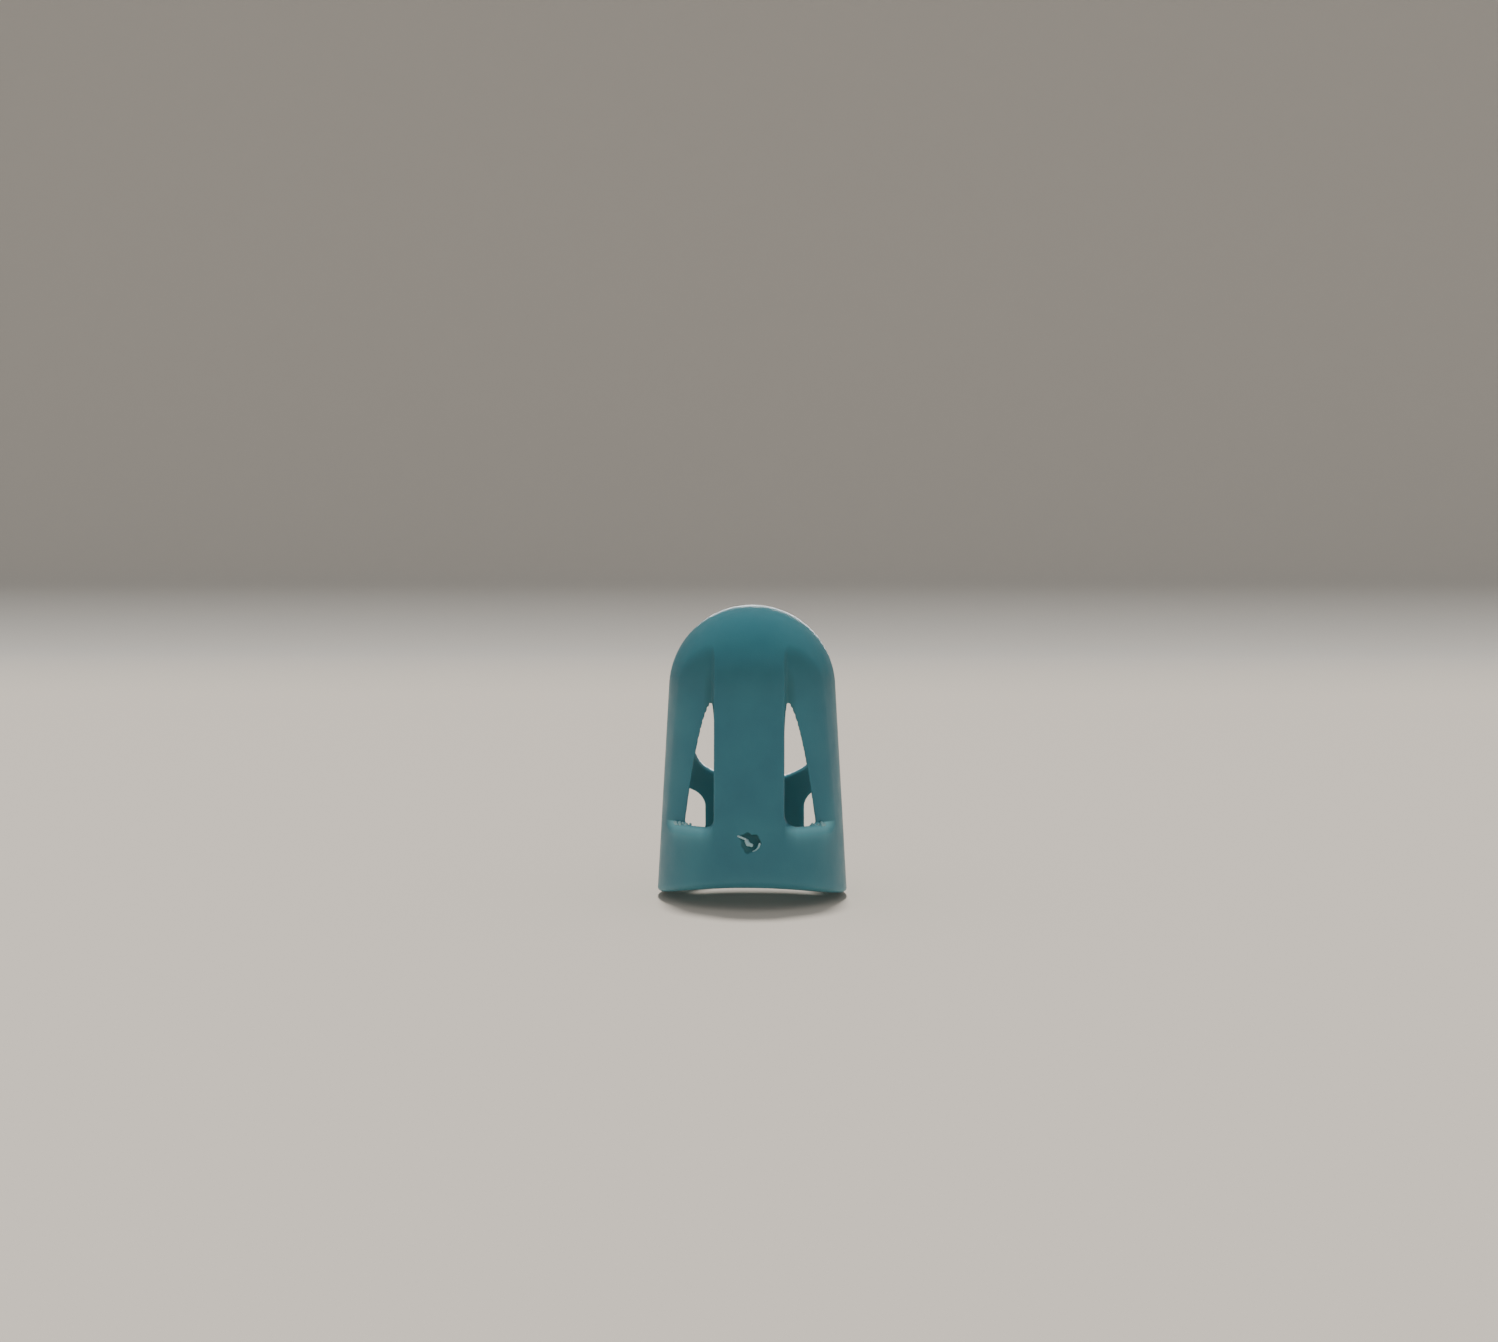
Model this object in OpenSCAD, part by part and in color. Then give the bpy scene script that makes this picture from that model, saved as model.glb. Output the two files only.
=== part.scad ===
// Guitar fingertip cap: one soft plastic moulding, divided into its functional sections.
// The cap stands on its open end. The string side, with the pad strip, faces -Y. The nail side faces +Y.

/* [Cap] */
// Overall height from the rim to the tip
cap_height = 28; // [26:0.5:31]
// Outer diameter at the rim
rim_diameter = 18.3; // [17.6:0.1:19]
// Taper of the wall from the upright, in degrees
taper = 3.3; // [2.8:0.1:3.8]
// Wall thickness
wall = 0.9; // [0.8:0.05:1.1]
// Radius round the outside of the rim, which leaves a narrow flat to stand on
lip_radius = 0.6; // [0.3:0.05:0.7]

/* [Ring] */
// Height of the ring below the front windows
ring_height = 7.6; // [7:0.1:8.5]
// How high the front of the rim is lifted off the table
front_lift = 2.3; // [0:0.1:3]
// Distance in front of the axis at which the lift begins
lift_start = 1.9; // [0:0.1:4]

/* [Front windows] */
// Width of the pad strip between the windows
strip_width = 6.5; // [5.5:0.1:7.5]
// Distance of each window's flat recess from the axis
recess_distance = 7.04; // [6.9:0.02:7.2]
// Direction of each recess from straight ahead, in degrees
recess_angle = 25.2; // [23:0.2:28]
// Radius of the left window's lower inner corner
left_corner_radius = 0.8; // [0.4:0.1:1.5]
// Radius of the right window's lower inner corner
right_corner_radius = 1.3; // [0.4:0.1:1.5]

/* [Nail side] */
// Width of the nail opening, whose top is a half circle
nail_width = 12.5; // [11.5:0.1:13]
// Height of the nail opening's highest point
nail_top = 22; // [21:0.1:23]
// Radius of the curve along the nail opening's lower edge
nail_base_radius = 8.7; // [8:0.1:9.5]
// Height of the lowest point of that curve
nail_base = 10.3; // [10:0.1:11]
// Corner radius where the lower edge meets the upright sides
nail_corner_radius = 1.5; // [1:0.1:2]
// Height of the band under the nail opening
bridge_height = 2.5; // [2:0.1:3]
// Width of the wall between the rear windows
rear_panel_width = 9.9; // [9:0.1:10.4]
// Distance from the middle to the outer edge of each rear window
rear_window_reach = 7.3; // [7:0.1:7.5]
// Height of the sill of the rear windows
rear_sill = 5; // [4:0.1:5.5]
// Corner radius of the rear windows
rear_corner_radius = 1; // [0.5:0.1:1]

/* [Gate] */
// Height of the middle of the gate above the table
gate_height = 6.3; // [6:0.05:6.4]
// Diameter of the pit left round the gate
gate_pit_diameter = 2; // [1.4:0.1:2.2]
// Depth of that pit
gate_pit_depth = 0.45; // [0.2:0.05:0.5]
// Diameter of the torn stub in the pit
gate_stub_diameter = 0.9; // [0.5:0.1:1.2]

/* [Hidden] */
$fn = 96;

plastic_colour = [0.35, 0.58, 0.65];
reach = 40;                       // longer than the cap in every direction
rim_radius = rim_diameter / 2;
strip_half = strip_width / 2;
nail_half = nail_width / 2;
panel_half = rear_panel_width / 2;
nail_spring = nail_top - nail_half;
base_centre = nail_base + nail_base_radius;

// Each rear window's upper inner corner is an arc that touches the band's lower edge.
bridge_lower_radius = nail_base_radius + bridge_height;
corner_span = bridge_lower_radius + rear_corner_radius;
touch_ratio = bridge_lower_radius / corner_span;
window_middle = (panel_half + rear_window_reach) / 2;
bridge_half = window_middle * touch_ratio;

// The dome is the sphere that runs on smoothly from the tapered wall and reaches the cap's full height.
dome_centre = (cap_height - rim_radius * cos(taper)) / (1 - sin(taper));
dome_radius = cap_height - dome_centre;
tip_base = dome_centre + dome_radius * sin(taper);

gate_surface = wall_radius(gate_height, 0);

// Distance from the axis to the tapered wall at a height, for a surface set inset millimetres inside
function wall_radius(z, inset) = rim_radius - inset / cos(taper) - z * tan(taper);

// Height of the centre of a circle at distance x from the middle, span away from the nail curve's centre
function height_under_curve(x, span) = base_centre - sqrt(span * span - x * x);

// Half outline of the cap's closed form, shrunk by inset, as radius and height
module half_form(inset) {
  join = dome_centre + (dome_radius - inset) * sin(taper);
  polygon([[0, -1], [wall_radius(-1, inset), -1], [wall_radius(join, inset), join], [0, join]]);
  intersection() {
    translate([0, dome_centre]) circle(r = dome_radius - inset);
    translate([0, join]) square(reach);
  }
}

// The closed cap with its rounded lip, before any window is cut
module shell() {
  lip_centre = wall_radius(lip_radius, lip_radius);
  rotate_extrude() intersection() {
    difference() {
      half_form(0);
      half_form(wall);
    }
    union() {
      translate([lip_centre, lip_radius]) circle(r = lip_radius);
      translate([lip_centre, lip_radius]) rotate(taper) translate([-reach, 0]) square([2 * reach, reach]);
      rectangle(0, 0, lip_centre, 2 * lip_radius);
    }
  }
}

// The tapered wall between two heights, before any window is cut
module wall_band(low, high) {
  rotate_extrude()
    polygon([[wall_radius(low, 0), low], [wall_radius(high, 0), high],
             [wall_radius(high, wall), high], [wall_radius(low, wall), low]]);
}

// Everything between two heights
module layer(low, high) {
  translate([-reach, -reach, low]) cube([2 * reach, 2 * reach, high - low]);
}

// A rectangle drawn between two corners
module rectangle(low_x, low_z, high_x, high_z) {
  translate([low_x, low_z]) square([high_x - low_x, high_z - low_z]);
}

// Drives an outline drawn in width and height out through the back of the cap
module through_back() {
  rotate([90, 0, 0]) mirror([0, 0, 1]) linear_extrude(height = reach) children();
}

// Drives an outline drawn in width and height out through the front of the cap
module through_front() {
  rotate([90, 0, 0]) linear_extrude(height = reach) children();
}

// Right front window: everything outside the flat recess, beside the strip and above a floor
module front_window(corner, floor_z) {
  intersection() {
    rotate([0, 0, recess_angle])
      translate([-reach, -recess_distance - reach, floor_z]) cube([2 * reach, reach, reach]);
    through_front() {
      rectangle(strip_half + corner, floor_z, reach, reach);
      rectangle(strip_half, floor_z + corner, reach, reach);
      translate([strip_half + corner, floor_z + corner]) circle(r = corner);
    }
  }
}

// Both front windows, whose lower inner corners differ
module front_windows() {
  front_window(right_corner_radius, ring_height);
  mirror([1, 0, 0]) front_window(left_corner_radius, ring_height);
}

// Nail opening: a half circle above upright sides, with a hollow curve along the lower edge
module nail_opening() {
  corner_x = nail_half - nail_corner_radius;
  inner_span = nail_base_radius - nail_corner_radius;
  corner_z = height_under_curve(corner_x, inner_span);
  touch_x = corner_x * nail_base_radius / inner_span;
  through_back() {
    translate([0, nail_spring]) circle(r = nail_half);
    rectangle(-nail_half, corner_z, nail_half, nail_spring);
    for (side = [-1, 1]) translate([side * corner_x, corner_z]) circle(r = nail_corner_radius);
    intersection() {
      translate([0, base_centre]) circle(r = nail_base_radius);
      rectangle(-touch_x, 0, touch_x, nail_spring);
    }
  }
}

// Right rear window: its top edge is the lower edge of the band above it
module rear_window() {
  inner_x = panel_half + rear_corner_radius;
  outer_x = rear_window_reach - rear_corner_radius;
  inner_z = height_under_curve(inner_x, corner_span);
  low_z = rear_sill + rear_corner_radius;
  through_back() {
    rectangle(inner_x, rear_sill, outer_x, inner_z);
    rectangle(panel_half, low_z, inner_x, inner_z);
    for (corner = [[inner_x, low_z], [outer_x, low_z], [inner_x, inner_z]])
      translate(corner) circle(r = rear_corner_radius);
    difference() {
      rectangle(inner_x * touch_ratio, low_z, rear_window_reach, base_centre);
      bridge_curve();
    }
  }
}

// Both rear windows
module rear_windows() {
  rear_window();
  mirror([1, 0, 0]) rear_window();
}

// The disc whose lower edge is the lower edge of the band under the nail opening
module bridge_curve() {
  translate([0, base_centre]) circle(r = bridge_lower_radius);
}

// The sloping cut that lifts the front of the rim
module rim_lift() {
  slope = atan(front_lift / (rim_radius - lift_start));
  translate([0, -lift_start, 0]) rotate([-slope, 0, 0])
    translate([-reach, -reach, -reach]) cube([2 * reach, reach, reach]);
}

// The space behind the axis that holds the band, up to a height
module bridge_zone(high) {
  translate([-bridge_half, 0, 0]) cube([2 * bridge_half, reach, high]);
}

// The space in front of the axis that holds the pad strip, with the windows' round corners at its foot
module strip_zone() {
  corner = max(left_corner_radius, right_corner_radius);
  head_half = strip_half + 0.1;
  foot_half = strip_half + corner + 0.2;
  through_front() {
    rectangle(-head_half, 0, head_half, reach);
    rectangle(-foot_half, 0, foot_half, ring_height + corner + 0.1);
  }
}

// What stands between the two rear windows under the band
module rear_panel_zone() {
  through_back() {
    difference() {
      union() {
        rectangle(-bridge_half, rear_sill, bridge_half, base_centre);
        rectangle(-window_middle, rear_sill, window_middle, rear_sill + rear_corner_radius);
      }
      bridge_curve();
    }
  }
}

// A round bar on the gate's line, between two distances in front of the axis
module gate_bar(diameter, from, to) {
  translate([0, -from, gate_height]) rotate([90, 0, 0]) cylinder(h = to - from, d = diameter);
}

// The closed ring round the open end, with the lifted front rim and the pit left by the gate
module base_ring() {
  color(plastic_colour) difference() {
    intersection() {
      shell();
      layer(-1, ring_height);
    }
    rear_windows();
    rear_panel_zone();
    rim_lift();
    gate_bar(gate_pit_diameter, gate_surface - gate_pit_depth, reach);
  }
}

// The strip down the front that covers the finger pad
module pad_strip() {
  color(plastic_colour) difference() {
    intersection() {
      wall_band(ring_height, tip_base);
      strip_zone();
    }
    front_windows();
  }
}

// Right side panel, from the front window round to the nail opening and the rear window
module side_panel() {
  color(plastic_colour) difference() {
    intersection() {
      wall_band(ring_height, tip_base);
      translate([0, -reach, 0]) cube([reach, 2 * reach, reach]);
    }
    strip_zone();
    front_window(right_corner_radius, 0);
    nail_opening();
    rear_window();
    bridge_zone(nail_spring);
  }
}

module side_panel_right() {
  side_panel();
}

module side_panel_left() {
  mirror([1, 0, 0]) side_panel();
}

// The dome over the fingertip, from the front windows' points to the head of the nail opening
module tip_dome() {
  color(plastic_colour) difference() {
    intersection() {
      shell();
      layer(tip_base, cap_height + 1);
    }
    front_windows();
    nail_opening();
  }
}

// The curved band under the nail opening
module nail_bridge() {
  color(plastic_colour) difference() {
    intersection() {
      wall_band(rear_sill, nail_spring);
      bridge_zone(nail_spring);
      through_back() {
        bridge_curve();
      }
    }
    nail_opening();
  }
}

// The wall between the two rear windows, from the sill up to the band
module rear_panel() {
  color(plastic_colour) difference() {
    intersection() {
      wall_band(rear_sill, nail_base + 3);
      rear_panel_zone();
    }
    rear_windows();
  }
}

// What is left of the plastic that filled the mould through its gate
module gate_vestige() {
  color(plastic_colour) gate_bar(gate_stub_diameter, gate_surface - gate_pit_depth, gate_surface);
}

base_ring();
pad_strip();
side_panel_left();
side_panel_right();
tip_dome();
nail_bridge();
rear_panel();
gate_vestige();
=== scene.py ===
"""Guitar fingertip cap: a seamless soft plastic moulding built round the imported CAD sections.

The cap's form is written as a distance field in millimetres, with every edge rounded, and the skin is
laid on the field's zero level. The CAD sections give way to it. The scar of the moulding gate and the
ragged flash on the ledges are small pieces of their own, made in the same way.
"""

import math
import random

import bpy
import numpy as np
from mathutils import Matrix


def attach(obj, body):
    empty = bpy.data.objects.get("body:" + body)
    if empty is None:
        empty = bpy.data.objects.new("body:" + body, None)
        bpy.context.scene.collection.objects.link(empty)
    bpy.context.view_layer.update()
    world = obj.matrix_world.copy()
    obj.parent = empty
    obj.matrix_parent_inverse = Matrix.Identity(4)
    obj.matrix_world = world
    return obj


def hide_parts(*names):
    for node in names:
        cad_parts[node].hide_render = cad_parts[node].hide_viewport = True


MM = 0.001

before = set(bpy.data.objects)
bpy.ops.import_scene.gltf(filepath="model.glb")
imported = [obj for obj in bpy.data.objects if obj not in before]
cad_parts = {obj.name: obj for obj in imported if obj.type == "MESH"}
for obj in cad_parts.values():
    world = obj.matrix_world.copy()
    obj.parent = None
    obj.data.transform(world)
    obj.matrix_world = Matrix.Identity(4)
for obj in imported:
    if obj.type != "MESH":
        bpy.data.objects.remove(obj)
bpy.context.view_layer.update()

# ---------------------------------------------------------------- dimensions, in millimetres
# The closed form: a tapered wall under a dome
HEIGHT = 28.0
RIM_RADIUS = 9.15
TAPER = math.radians(3.3)
WALL = 0.9
DOME_CENTRE = (HEIGHT - RIM_RADIUS * math.cos(TAPER)) / (1 - math.sin(TAPER))
DOME_RADIUS = HEIGHT - DOME_CENTRE

# The ring, with the front of its rim lifted clear of the table
RING_HEIGHT = 7.6
FRONT_LIFT = 2.3
LIFT_START = 1.9
LIFT_ANGLE = math.atan(FRONT_LIFT / (RIM_RADIUS - LIFT_START))

# The front windows beside the pad strip. Each recess stands a little further out than its flat, and
# leans out, so that the thin edges keep some thickness.
STRIP_HALF = 3.25
RECESS_DISTANCE = 7.04
RECESS_ANGLE = math.radians(25.2)
RECESS_LEAN = 0.009
EDGE_THICKENING = 0.2
WINDOW_CORNERS = {-1: 0.8, 1: 1.3}

# The nail opening, the band under it and the rear windows
NAIL_HALF = 6.25
NAIL_TOP = 22.0
NAIL_BASE = 10.3
NAIL_BASE_RADIUS = 8.7
NAIL_CORNER = 1.5
BRIDGE_HEIGHT = 2.5
REAR_PANEL_HALF = 4.95
REAR_REACH = 7.3
REAR_SILL = 5.0
REAR_CORNER = 1.0
NAIL_SPRING = NAIL_TOP - NAIL_HALF
BASE_CENTRE = NAIL_BASE + NAIL_BASE_RADIUS
FAR_OUTSIDE = 5.0

# The scar of the moulding gate, and the flash on the ledges
GATE_HEIGHT = 6.3
GATE_RADIUS = 0.86
GATE_DEPTH = 0.5
GATE_SURFACE = RIM_RADIUS - GATE_HEIGHT * math.tan(TAPER)
GATE_CURL_RADIUS = 0.92
GATE_CURL_TURNS = (-80, -55, -30, -8)
FLASH_ARC = (45, 57, 1.6)
FLASH_REACH = 8.4
FLASH_MELT = 0.05

# Edge radii
HOLE_EDGE = 0.35
JAMB_EDGE = 0.16
SHOULDER_EDGE = 1.0
RECESS_FILLET = 0.35
RECESS_BLEND = 0.8
NAIL_EDGE = 0.3
REAR_EDGE = 0.2
LIP_EDGE = 0.6
LIFT_BLEND = 2.0
GATE_EDGE = 0.08
GATE_FLOOR_EDGE = 0.12

# Painted light: how far the colour is lightened to stand in for light let through the soft plastic at the
# ledges and into the bore, and thrown up from the table onto the lip
LEDGE_GLOW_DEPTH = 0.3
LEDGE_GLOW_FADE = 0.55
LEDGE_INNER_FADE = 1.2
LEDGE_OUTER_FADE = 0.9
LEDGE_REACH = 8.0
LEDGE_TOP = RING_HEIGHT + 0.1
LIP_PAINTED_BOUNCE = 0.22
LIP_PAINTED_BOUNCE_FADE = 0.8
BORE_GLOW = 0.6
BORE_GLOW_DEPTH = 0.15

# Painted shade: how far the colour is darkened to stand in for shade in the hollow beside the strip, over
# the dome's tip and in the gate's scar
HOLLOW_SHADE = 0.75
HOLLOW_REACH = 1.6
HOLLOW_RISE = 4.5
TIP_SHADE = 0.5
TIP_SHADE_START = 16.0
TIP_SHADE_RISE = 10.0
GATE_SHADE = 0.75

# Surface sampling
CELL = 0.11
FINE_CELL = 0.05
FINEST_CELL = 0.04
RELAX_ROUNDS = 4
FINAL_STEPS = 3
PROBE = 0.01
LEAST_SLOPE = 0.25


# ---------------------------------------------------------------- distance field operations
def round_and(a, b, radius):
    """Intersection of two distances, with its edge rounded to a radius."""
    corner = np.hypot(np.maximum(a + radius, 0), np.maximum(b + radius, 0))
    return np.minimum(-radius, np.maximum(a, b)) + corner


def round_or(a, b, radius):
    """Union of two distances, with its inner corner filled to a radius."""
    return -round_and(-a, -b, radius)


def cut(body, tool, radius):
    """A body with a tool taken out of it, and the new edge rounded to a radius."""
    return round_and(body, -tool, radius)


def rectangle(u, v, low_u, high_u, low_v, high_v, radius):
    """Distance to a rectangle with round corners."""
    du = np.abs(u - (low_u + high_u) / 2) - (high_u - low_u) / 2 + radius
    dv = np.abs(v - (low_v + high_v) / 2) - (high_v - low_v) / 2 + radius
    outside = np.hypot(np.maximum(du, 0), np.maximum(dv, 0))
    return outside + np.minimum(np.maximum(du, dv), 0) - radius


# ---------------------------------------------------------------- the cap's form
def closed_form(x, y, z):
    """Distance to the cap's outer form: a tapered wall that runs smoothly into a dome."""
    radius = np.hypot(x, y)
    along = (z - DOME_CENTRE) * math.cos(TAPER) - radius * math.sin(TAPER)
    dome = np.hypot(radius, z - DOME_CENTRE) - DOME_RADIUS
    cone = (radius - RIM_RADIUS + z * math.tan(TAPER)) * math.cos(TAPER)
    return np.where(along > 0, dome, cone)


def recessed_form(skin, x, y, z):
    """The outer form with the flat recesses that open into the two front windows."""
    solid = skin
    for side, corner in WINDOW_CORNERS.items():
        distance = RECESS_DISTANCE + EDGE_THICKENING + RECESS_LEAN * (z - RING_HEIGHT)
        facet = math.sin(RECESS_ANGLE) * side * x - math.cos(RECESS_ANGLE) * y - distance
        flattened = round_and(skin, facet, RECESS_BLEND)
        strip = round_and(skin, side * x - STRIP_HALF, JAMB_EDGE)
        ring = round_and(skin, z - RING_HEIGHT, SHOULDER_EDGE)
        kept = round_or(strip, ring, corner)
        solid = np.maximum(solid, round_or(kept, flattened, RECESS_FILLET))
    return solid


def nail_outline(x, z):
    """Distance to the nail opening's outline, seen from behind."""
    disc = np.hypot(x, z - BASE_CENTRE) - NAIL_BASE_RADIUS
    lower = round_and(disc, np.abs(x) - NAIL_HALF, NAIL_CORNER)
    upper = np.hypot(x, z - NAIL_SPRING) - NAIL_HALF
    return np.where(z > NAIL_SPRING, upper, lower)


def rear_outline(x, z):
    """Distance to the rear windows' outlines, which follow the band above them."""
    u = np.abs(x)
    box = rectangle(u, z, REAR_PANEL_HALF, REAR_REACH, REAR_SILL, 2 * BASE_CENTRE, REAR_CORNER)
    below_band = NAIL_BASE_RADIUS + BRIDGE_HEIGHT - np.hypot(x, z - BASE_CENTRE)
    return np.where(z > BASE_CENTRE, FAR_OUTSIDE, round_and(box, below_band, REAR_CORNER))


def rim_plane(y, z):
    """Distance below the rim: level behind, and sloping up towards the front."""
    sloping = -((y + LIFT_START) * math.sin(LIFT_ANGLE) + z * math.cos(LIFT_ANGLE))
    return round_and(-z, sloping, LIFT_BLEND)


def bar(x, y, z, start, end, radius):
    """Distance to a straight bar with round ends."""
    start, end = np.array(start), np.array(end)
    along = end - start
    offset = (x - start[0], y - start[1], z - start[2])
    share = np.clip(sum(o * a for o, a in zip(offset, along)) / along.dot(along), 0, 1)
    return np.sqrt(sum((o - share * a) ** 2 for o, a in zip(offset, along))) - radius


def gate_pit(x, y, z):
    """Distance to the torn pit round the gate, which is deepest at its upper right."""
    across, up = x - 0.1, z - GATE_HEIGHT - 0.05
    turn = np.arctan2(up, across)
    ragged = 0.1 * np.sin(3 * turn + 0.6) + 0.06 * np.sin(7 * turn + 2.0)
    reach = np.hypot(across, up) - GATE_RADIUS - ragged
    depth = GATE_DEPTH * (0.5 + 0.6 * np.clip(across + up, -0.6, 0.8))
    return round_and(reach, y + GATE_SURFACE - depth, GATE_FLOOR_EDGE)


def gate_place(across, up, depth):
    """A place near the gate, from its middle and from the surface of the wall."""
    return across, depth - GATE_SURFACE, GATE_HEIGHT + up


def gate_stub(x, y, z):
    """Distance to what was left when the gate was torn off: a nub, a strand and a curled lip."""
    knee = gate_place(-0.02, -0.1, 0.107)
    nub = bar(x, y, z, gate_place(-0.2, 0.15, 0.287), knee, 0.22)
    tooth = bar(x, y, z, knee, gate_place(0.26, -0.2, 0.067), 0.17)
    strand = bar(x, y, z, gate_place(-0.95, 0.62, 0.127), gate_place(-0.3, 0.36, 0.087), 0.1)
    stub = np.minimum(np.minimum(nub, tooth), strand)
    curl = []
    for turn in map(math.radians, GATE_CURL_TURNS):
        across = 0.1 + GATE_CURL_RADIUS * math.cos(turn)
        up = 0.05 + GATE_CURL_RADIUS * math.sin(turn)
        curl.append(gate_place(across, up, 0.087))
    for start, end in zip(curl, curl[1:]):
        stub = np.minimum(stub, bar(x, y, z, start, end, 0.1))
    return stub


def flash_beads(side):
    """Foot, top and radius of each bead of flash on the ledge at one window's outer foot."""
    draw = random.Random(11 + side)
    beads = []
    for turn in np.arange(*FLASH_ARC):
        angle = math.radians(turn + draw.uniform(-0.6, 0.6))
        out = RECESS_DISTANCE / math.cos(angle - RECESS_ANGLE) + draw.uniform(0.3, 0.5)
        out = min(out, FLASH_REACH)
        x, y = side * out * math.sin(angle), -out * math.cos(angle)
        foot = (x, y, RING_HEIGHT - 0.12)
        top = (x + draw.uniform(-0.12, 0.12), y, RING_HEIGHT + draw.uniform(-0.06, 0.12))
        beads.append((foot, top, draw.uniform(0.06, 0.15)))
    return beads


def flash_field(beads):
    """A function that gives the distance to some beads of flash melted together."""

    def distance(x, y, z):
        nearest = bar(x, y, z, *beads[0])
        for bead in beads[1:]:
            nearest = round_or(nearest, bar(x, y, z, *bead), FLASH_MELT)
        return nearest

    return distance


def cap_field(x, y, z):
    """Signed distance to the moulding, in millimetres."""
    skin = closed_form(x, y, z)
    body = round_and(recessed_form(skin, x, y, z), -(skin + WALL), HOLE_EDGE)
    body = cut(body, np.maximum(nail_outline(x, z), -y), NAIL_EDGE)
    body = cut(body, np.maximum(rear_outline(x, z), -y), REAR_EDGE)
    body = cut(body, gate_pit(x, y, z), GATE_EDGE)
    return round_and(body, rim_plane(y, z), LIP_EDGE)


# ---------------------------------------------------------------- the skin over the field
def corner_values(field, cells):
    """The field at the eight corners of each cell, in binary order of their offsets."""
    offsets = [(i, j, k) for i in (0, 1) for j in (0, 1) for k in (0, 1)]
    return np.stack([field[cells[:, 0] + i, cells[:, 1] + j, cells[:, 2] + k] for i, j, k in offsets], 1)


def crossing_points(values):
    """Mean place, within each unit cell, at which the field crosses zero on the cell's edges."""
    total = np.zeros((len(values), 3))
    count = np.zeros(len(values))
    for axis, stride in enumerate((4, 2, 1)):
        for start in [c for c in range(8) if not c & stride]:
            first, last = values[:, start], values[:, start + stride]
            crossed = (first < 0) != (last < 0)
            share = np.where(crossed, first / np.where(crossed, first - last, 1), 0)
            place = np.array([(start >> 2) & 1, (start >> 1) & 1, start & 1], float)
            point = np.repeat(place[None], len(values), 0)
            point[:, axis] = share
            total += point * crossed[:, None]
            count += crossed
    return total / count[:, None]


def surface_quads(inside, index):
    """One quad round each grid edge that the surface crosses, facing outwards."""
    quads = []
    for axis in range(3):
        u, v = (axis + 1) % 3, (axis + 2) % 3
        near = np.take(inside, range(inside.shape[axis] - 1), axis)
        far = np.take(inside, range(1, inside.shape[axis]), axis)
        edges = np.argwhere(near != far)
        edges = edges[(edges[:, u] > 0) & (edges[:, v] > 0)]
        ring = []
        for du, dv in ((1, 1), (0, 1), (0, 0), (1, 0)):
            cell = edges.copy()
            cell[:, u] -= du
            cell[:, v] -= dv
            ring.append(index[cell[:, 0], cell[:, 1], cell[:, 2]])
        quad = np.stack(ring, 1)
        leaving = near[edges[:, 0], edges[:, 1], edges[:, 2]]
        quads.append(np.where(leaving[:, None], quad, quad[:, ::-1]))
    return np.concatenate(quads)


def relax(points, quads):
    """Points moved half way to the mean of their neighbours along the quads' edges."""
    total = np.zeros_like(points)
    count = np.zeros(len(points))
    for turn in (1, 3):
        np.add.at(total, quads.ravel(), points[np.roll(quads, turn, 1).ravel()])
        np.add.at(count, quads.ravel(), 1)
    return (points + total / count[:, None]) / 2


def settle(points, field, reach, steps):
    """Points moved along the field's slope until they lie on its zero level."""
    for _ in range(steps):
        value = field(*points.T)
        slope = np.empty_like(points)
        for axis in range(3):
            step = np.zeros(3)
            step[axis] = PROBE
            slope[:, axis] = (field(*(points + step).T) - field(*(points - step).T)) / (2 * PROBE)
        size = np.maximum((slope**2).sum(1), LEAST_SLOPE)
        points = points - np.clip(value / size, -reach, reach)[:, None] * slope
    return points


def laid_skin(field, box, cell):
    """Points and quads of a skin laid on the field's zero level inside a box."""
    low, high = box
    axes = [np.arange(a, b + cell, cell) for a, b in zip(low, high)]
    x, y, z = np.meshgrid(*axes, indexing="ij", sparse=True)
    values = field(x, y, z)
    inside = values < 0
    inner = inside[:-1, :-1, :-1].astype(np.int8)
    total = sum(
        inside[i : i + inner.shape[0], j : j + inner.shape[1], k : k + inner.shape[2]].astype(np.int8)
        for i in (0, 1)
        for j in (0, 1)
        for k in (0, 1)
    )
    cells = np.argwhere((total > 0) & (total < 8))
    index = np.full(total.shape, -1)
    index[tuple(cells.T)] = np.arange(len(cells))
    points = np.array(low) + (cells + crossing_points(corner_values(values, cells))) * cell
    quads = surface_quads(inside, index)
    for _ in range(RELAX_ROUNDS):
        points = relax(settle(points, field, cell, 1), quads)
    return settle(points, field, cell, FINAL_STEPS), quads


def skin_piece(name, field, box, cell, material):
    """A piece that rides on the cap: the skin of a field inside a box, with its amounts of painted light
    and painted shade.
    """
    points, quads = laid_skin(field, box, cell)
    mesh = bpy.data.meshes.new(name)
    mesh.from_pydata((points * MM).tolist(), [], quads.tolist())
    mesh.validate()
    mesh.shade_smooth()
    mesh.materials.append(material)
    # The amounts of painted light and painted shade, kept on the mesh for its colour.
    for label, amount in (("glow", painted_light_amount), ("shade", painted_shade_amount)):
        attribute = mesh.attributes.new(label, "FLOAT", "POINT")
        attribute.data.foreach_set("value", amount(points).astype(np.float32))
    piece = bpy.data.objects.new(name, mesh)
    bpy.context.scene.collection.objects.link(piece)
    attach(piece, "root")
    return piece


def outer_form(points):
    """Distance to the recessed outer form, as if the cap were solid."""
    return recessed_form(closed_form(*points.T), *points.T)


def hollowness(points):
    """How deep each point lies in a hollow of the outer form, from none at zero."""
    total = 6 * outer_form(points)
    for step in np.eye(3) * HOLLOW_REACH:
        total -= outer_form(points + step) + outer_form(points - step)
    return np.maximum(total / HOLLOW_REACH, 0)


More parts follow.
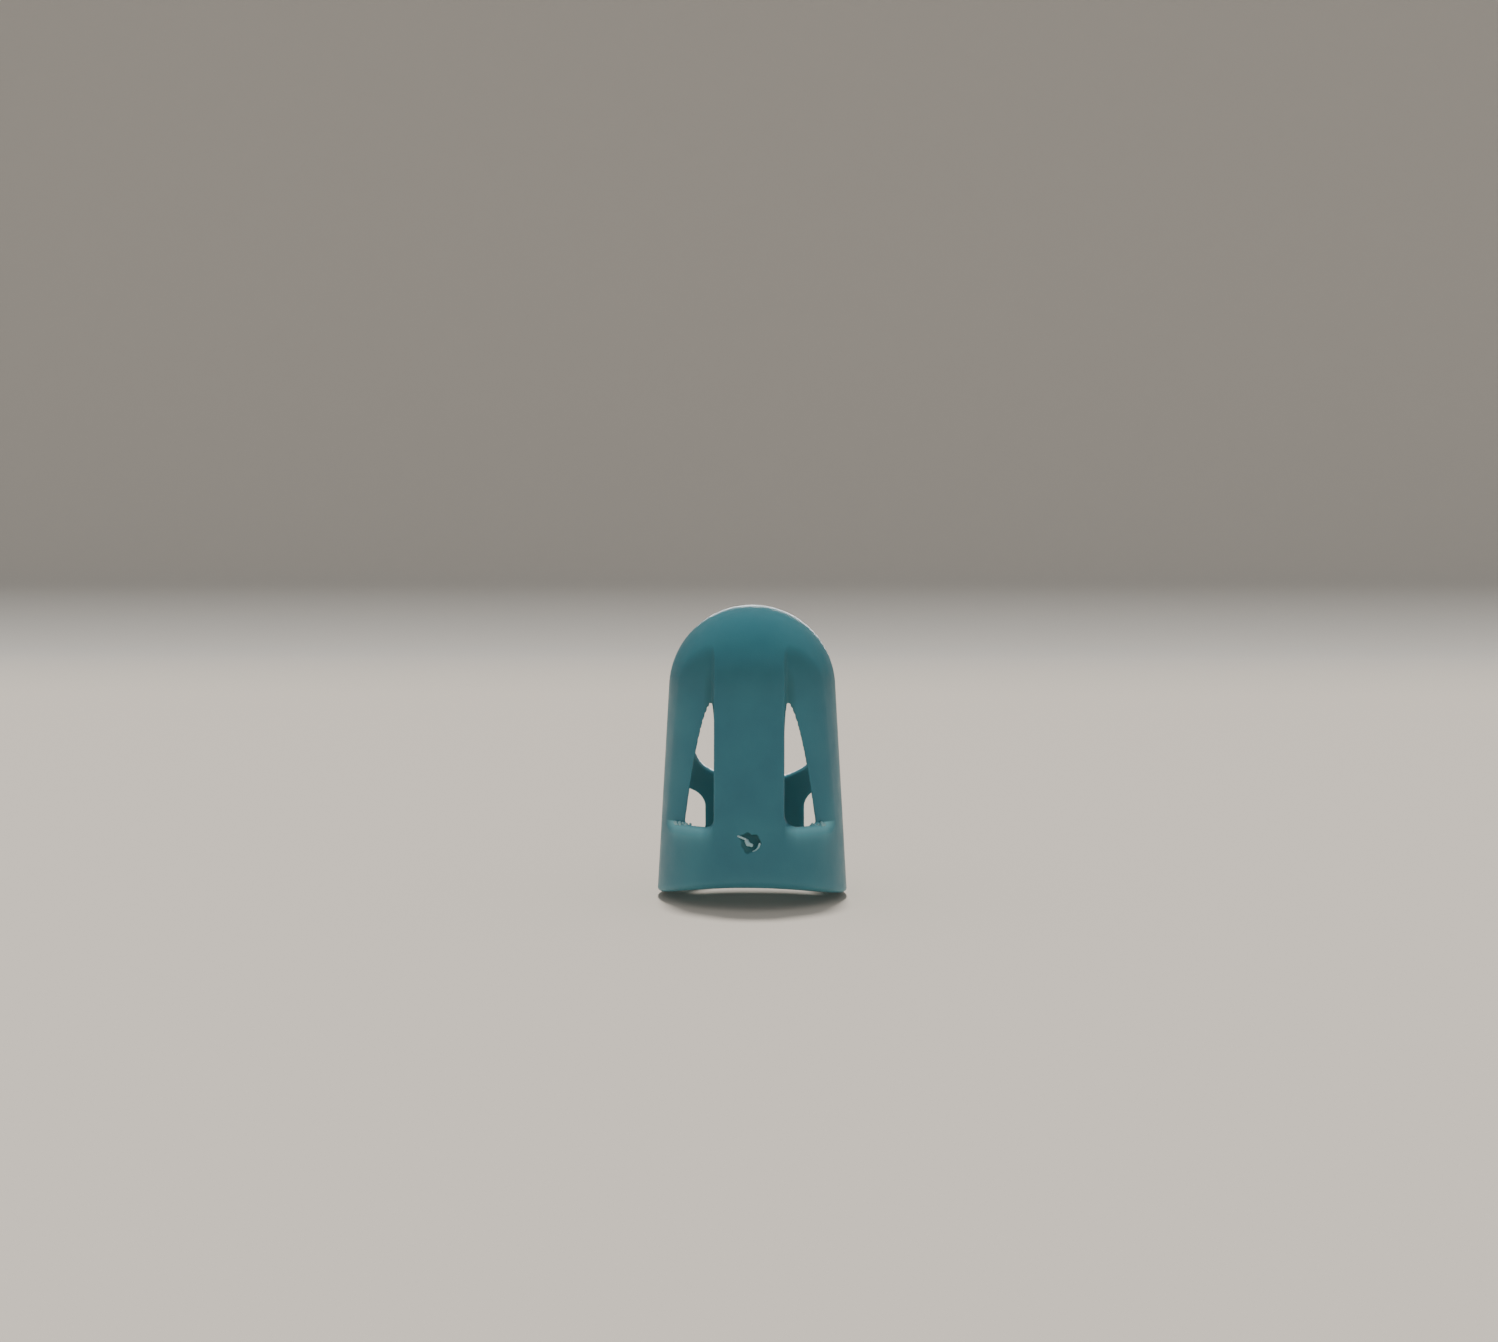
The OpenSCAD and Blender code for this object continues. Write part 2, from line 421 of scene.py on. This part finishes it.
def painted_light_amount(points):
    """Painted light, from 0 to 1: lightening that stands in for light let through the plastic at the
    ledges and into the bore, and thrown up from the table onto the lip.
    """
    x, y, z = points.T
    # Painted light on and under the ledges beside the windows, for light let through the thin plastic.
    under_ledge = np.exp(-np.maximum(RING_HEIGHT - z - LEDGE_GLOW_DEPTH, 0) / LEDGE_GLOW_FADE)
    inner = (np.abs(x) - STRIP_HALF) / LEDGE_INNER_FADE
    outer = (LEDGE_REACH - np.abs(x)) / LEDGE_OUTER_FADE
    on_ledge = np.clip(np.minimum(inner, outer), 0, 1) * (y < 0) * (z < LEDGE_TOP)
    # Painted light on the lip, for light thrown up from the table.
    lip = LIP_PAINTED_BOUNCE * np.exp(np.minimum(rim_plane(y, z), 0) / LIP_PAINTED_BOUNCE_FADE)
    # Painted light over the bore, for light let into it through the plastic.
    bore = BORE_GLOW * np.clip((-closed_form(x, y, z) - WALL) / BORE_GLOW_DEPTH + 1, 0, 1)
    return np.clip(under_ledge * on_ledge + lip + bore, 0, 1)


def painted_shade_amount(points):
    """Painted shade, from 0 to 1: darkening that stands in for shade beside the strip, over the dome's tip
    and in the gate's scar.
    """
    z = points[:, 2]
    # Painted shade in the hollow beside the strip, fading out towards the ledge.
    above_foot = np.clip((z - RING_HEIGHT) / HOLLOW_RISE - 1, 0, 1)
    beside_strip = HOLLOW_SHADE * hollowness(points) * above_foot
    # Painted shade over the dome's tip.
    rise = np.clip((z - TIP_SHADE_START) / TIP_SHADE_RISE, 0, 1)
    tip = TIP_SHADE * rise * rise * (3 - 2 * rise)
    # Painted shade in the gate's scar.
    scar = GATE_SHADE * np.clip(1 - gate_pit(*points.T) / GATE_EDGE, 0, 1)
    return np.clip(beside_strip + tip + scar, 0, 1)


# ---------------------------------------------------------------- materials
PLASTIC_DARK = (0.034, 0.168, 0.222)
PLASTIC_LIGHT = (0.045, 0.202, 0.254)
# Colours of painted light and painted shade, mixed into the cap's colour by the amounts on its mesh
PLASTIC_PAINTED_LIGHT = (0.20, 0.55, 0.62)
PLASTIC_PAINTED_SHADE = (0.010, 0.095, 0.105)
PLASTIC_PAINTED_LIGHT_AND_SHADE = {"glow": PLASTIC_PAINTED_LIGHT, "shade": PLASTIC_PAINTED_SHADE}
# The torn pieces are coloured much lighter than the cap, as painted highlight on the flash beads and the
# gate's nub
TORN_DARK = (0.10, 0.30, 0.34)
TORN_LIGHT = (0.42, 0.66, 0.70)

# How many blotches a millimetre holds
CLOUD_SCALE = 0.22
WEAR_SCALE = 0.6
WAVE_SCALE = 0.35
GRAIN_SCALE = 9


def principled(name):
    """A new material, with its node tree and its main shader."""
    material = bpy.data.materials.new(name)
    material.use_nodes = True
    tree = material.node_tree
    return material, tree, tree.nodes["Principled BSDF"]


def noise(tree, scale, detail, stretch=(1, 1, 1)):
    """Noise over the piece in its own millimetres, drawn out along an axis by stretch."""
    place = tree.nodes.new("ShaderNodeTexCoord")
    mapping = tree.nodes.new("ShaderNodeMapping")
    mapping.inputs["Scale"].default_value = [s / MM for s in stretch]
    texture = tree.nodes.new("ShaderNodeTexNoise")
    texture.inputs["Scale"].default_value = scale
    texture.inputs["Detail"].default_value = detail
    tree.links.new(place.outputs["Object"], mapping.inputs["Vector"])
    tree.links.new(mapping.outputs["Vector"], texture.inputs["Vector"])
    return texture.outputs["Fac"]


def span(tree, value, from_low, from_high, low, high):
    """A value carried from one range to another and held inside it."""
    node = tree.nodes.new("ShaderNodeMapRange")
    node.inputs["From Min"].default_value = from_low
    node.inputs["From Max"].default_value = from_high
    node.inputs["To Min"].default_value = low
    node.inputs["To Max"].default_value = high
    tree.links.new(value, node.inputs["Value"])
    return node.outputs["Result"]


def spread(tree, value, low, high):
    """A noise value, which keeps near one half, spread between two limits."""
    return span(tree, value, 0.3, 0.7, low, high)


def tint(tree, factor, first, second):
    """A colour that runs from first to second with a factor. Each is a colour or a socket."""
    mix = tree.nodes.new("ShaderNodeMix")
    mix.data_type = "RGBA"
    for socket, colour in ((mix.inputs[6], first), (mix.inputs[7], second)):
        if isinstance(colour, tuple):
            socket.default_value = (*colour, 1)
        else:
            tree.links.new(colour, socket)
    tree.links.new(factor, mix.inputs[0])
    return mix.outputs[2]


def bump(tree, height, depth, previous=None):
    """A normal bent by a height, over any normal bent before it."""
    node = tree.nodes.new("ShaderNodeBump")
    node.inputs["Strength"].default_value = 1.0
    node.inputs["Distance"].default_value = depth * MM
    tree.links.new(height, node.inputs["Height"])
    if previous:
        tree.links.new(previous, node.inputs["Normal"])
    return node.outputs["Normal"]


def satin_plastic(name, dark, light, painted_light_and_shade):
    """Soft, faintly translucent plastic with a fine satin grain, with painted light and painted shade laid
    over its colour by amounts held in its mesh.
    """
    material, tree, shader = principled(name)
    colour = tint(tree, spread(tree, noise(tree, CLOUD_SCALE, 3), 0, 1), dark, light)
    # Painted light and painted shade laid over the colour, by amounts held in the mesh.
    for label, tinted in painted_light_and_shade.items():
        attribute = tree.nodes.new("ShaderNodeAttribute")
        attribute.attribute_name = label
        colour = tint(tree, attribute.outputs["Fac"], colour, tinted)
    tree.links.new(colour, shader.inputs["Base Color"])
    wear = spread(tree, noise(tree, WEAR_SCALE, 4), 0.36, 0.48)
    tree.links.new(wear, shader.inputs["Roughness"])
    waves = bump(tree, noise(tree, WAVE_SCALE, 2, (1, 1, 0.4)), 0.05)
    grain = bump(tree, noise(tree, GRAIN_SCALE, 3), 0.012, waves)
    tree.links.new(grain, shader.inputs["Normal"])
    shader.inputs["Subsurface Weight"].default_value = 0.3
    shader.inputs["Subsurface Radius"].default_value = (0.5, 0.9, 1.0)
    shader.inputs["Subsurface Scale"].default_value = 1.0 * MM
    shader.inputs["Specular IOR Level"].default_value = 0.35
    return material


def sweep_paint():
    """A pale matt finish that darkens towards the wall."""
    material, tree, shader = principled("studio_sweep")
    place = tree.nodes.new("ShaderNodeTexCoord")
    split = tree.nodes.new("ShaderNodeSeparateXYZ")
    tree.links.new(place.outputs["Object"], split.inputs["Vector"])
    away = span(tree, split.outputs["Y"], FADE_START, SWEEP_BACK + SWEEP_BEND, 0, 1)
    tree.links.new(tint(tree, away, TABLE_COLOUR, WALL_COLOUR), shader.inputs["Base Color"])
    shader.inputs["Roughness"].default_value = 1.0
    shader.inputs["Specular IOR Level"].default_value = 0
    return material


# ---------------------------------------------------------------- the object
# The boxes that hold the pieces, in millimetres
CAP_BOX = ((-9.5, -9.5, -0.4), (9.5, 9.5, 28.4))
GATE_BOX = ((-1.4, -9.1, 4.9), (1.4, -8.0, 7.4))
FLASH_SPAN = (5.0, 8.6)


def flash_box(side):
    """The box round the flash on one side's ledge."""
    left, right = sorted(side * x for x in FLASH_SPAN)
    return (left, -7.2, 7.2), (right, -3.4, 8.0)


plastic = satin_plastic("cap_plastic", PLASTIC_DARK, PLASTIC_LIGHT, PLASTIC_PAINTED_LIGHT_AND_SHADE)
# The gate stub and the flash take the torn colours, painted highlight included.
torn_plastic = satin_plastic("torn_plastic", TORN_DARK, TORN_LIGHT, {})

cap = skin_piece("cap_moulding", cap_field, CAP_BOX, CELL, plastic)
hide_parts(*[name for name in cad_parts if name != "gate_vestige"])

stub = skin_piece("gate_stub", gate_stub, GATE_BOX, FINEST_CELL, torn_plastic)
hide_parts("gate_vestige")

for word, side in (("left", -1), ("right", 1)):
    field = flash_field(flash_beads(side))
    skin_piece("mould_flash_" + word, field, flash_box(side), FINE_CELL, torn_plastic)

# ---------------------------------------------------------------- floor, backdrop, light and camera
# The table and the wall, in metres. The table's colour fades into the wall's from FADE_START.
TABLE_COLOUR = (0.597, 0.54, 0.47)
WALL_COLOUR = (0.45, 0.43, 0.40)
SWEEP_HALF_WIDTH = 8.0
SWEEP_FRONT = -3.0
SWEEP_BACK = 0.62
SWEEP_BEND = 0.045
SWEEP_STEPS = 16
SWEEP_TOP = 0.6
FADE_START = 0.33

# The key light's slope from the upright, towards the camera and to the right
KEY_STRENGTH = 3.5
KEY_SLOPE = 0.25
KEY_LEAN = 0.02
RIM_STRENGTH = 1.6
AIR_STRENGTH = 0.53


def studio_sweep():
    """A pale table top that curves up into the wall behind it."""
    profile = [(SWEEP_FRONT, 0.0)]
    for step in range(SWEEP_STEPS + 1):
        turn = math.pi / 2 * step / SWEEP_STEPS
        profile.append((SWEEP_BACK + SWEEP_BEND * math.sin(turn), SWEEP_BEND * (1 - math.cos(turn))))
    profile.append((SWEEP_BACK + SWEEP_BEND, SWEEP_TOP))
    corners = [(side * SWEEP_HALF_WIDTH, y, z) for y, z in profile for side in (-1, 1)]
    faces = [(i, i + 1, i + 3, i + 2) for i in range(0, len(corners) - 2, 2)]
    mesh = bpy.data.meshes.new("studio_sweep")
    mesh.from_pydata(corners, [], faces)
    mesh.shade_smooth()
    mesh.materials.append(sweep_paint())
    piece = bpy.data.objects.new("studio_sweep", mesh)
    piece.visible_shadow = False
    bpy.context.scene.collection.objects.link(piece)


def key_light():
    """Soft sunlight from above and behind, which throws a short shadow towards the camera."""
    data = bpy.data.lights.new("key", "SUN")
    data.energy = KEY_STRENGTH
    data.angle = math.radians(7)
    data.color = (1, 0.985, 0.96)
    lamp = bpy.data.objects.new("key", data)
    lamp.rotation_euler = (-math.atan(KEY_SLOPE), -KEY_LEAN, 0)
    lamp.visible_glossy = False
    bpy.context.scene.collection.objects.link(lamp)


def rim_light():
    """A glow behind the cap that only its sheen picks up, along the top of the dome."""
    data = bpy.data.lights.new("rim", "AREA")
    data.shape = "DISK"
    data.size = 0.2
    data.energy = RIM_STRENGTH
    lamp = bpy.data.objects.new("rim", data)
    lamp.location = (0, 0.55, 0.1)
    lamp.rotation_euler = (math.radians(-80), 0, 0)
    lamp.visible_diffuse = False
    lamp.visible_camera = False
    bpy.context.scene.collection.objects.link(lamp)


def studio_air():
    """Even soft light from all round."""
    world = bpy.data.worlds.new("studio")
    world.use_nodes = True
    background = world.node_tree.nodes["Background"]
    background.inputs["Color"].default_value = (0.97, 0.985, 1.0, 1)
    background.inputs["Strength"].default_value = AIR_STRENGTH
    bpy.context.scene.world = world


studio_sweep()
key_light()
rim_light()
studio_air()

# The camera stands 165 mm in front of the cap and 29 mm above the table, a little to the right.
SENSOR_WIDTH = 36
LENS_LENGTH = 41.335
CAMERA_DISTANCE = 0.165
CAMERA_HEIGHT = 0.029
CAMERA_AZIMUTH = math.radians(2.2)
CAMERA_PITCH = math.radians(2.55)
CAMERA_TURN = math.radians(0.107)

lens = bpy.data.cameras.new("camera")
lens.sensor_width = SENSOR_WIDTH
lens.lens = LENS_LENGTH
lens.clip_start = 0.01
lens.clip_end = 50
camera = bpy.data.objects.new("camera", lens)
camera.location = (
    CAMERA_DISTANCE * math.sin(CAMERA_AZIMUTH),
    -CAMERA_DISTANCE * math.cos(CAMERA_AZIMUTH),
    CAMERA_HEIGHT,
)
camera.rotation_euler = (math.pi / 2 - CAMERA_PITCH, 0, CAMERA_AZIMUTH + CAMERA_TURN)
bpy.context.scene.collection.objects.link(camera)
bpy.context.scene.camera = camera
